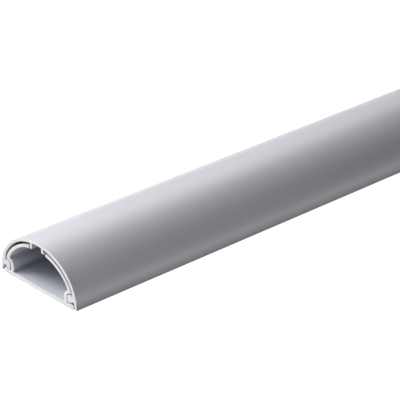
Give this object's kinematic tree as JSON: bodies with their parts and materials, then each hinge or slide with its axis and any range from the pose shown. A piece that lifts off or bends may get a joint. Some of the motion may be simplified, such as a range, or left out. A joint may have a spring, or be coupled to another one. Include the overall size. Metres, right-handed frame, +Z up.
{
  "type": "cable trunking",
  "caption": "Half-oval floor cable trunking: a flat base with two curved arms and an arched cover that clips over them.",
  "frame": {"origin": "on the underside of the base plate, at the middle of the width and of the length", "axes": "+Y along the length, away from the end that the picture shows; +Z up from the floor to the crown of the cover; +X across the width"},
  "size_m": [0.05, 2, 0.0224],
  "materials": {
    "base_plastic": "satin extruded rigid PVC, light bluish grey, saw-cut ends",
    "cover_plastic": "satin extruded rigid PVC, light bluish grey, saw-cut ends"
  },
  "bodies": {
    "base": {"trunking_base": "base_plastic"},
    "cover": {"snap_cover": "cover_plastic"}
  },
  "joints": [
    {"name": "cover_slide", "type": "slide", "parent": "base", "child": "cover", "axis": [0, 1, 0], "range_m": [-2, 2]}
  ]
}
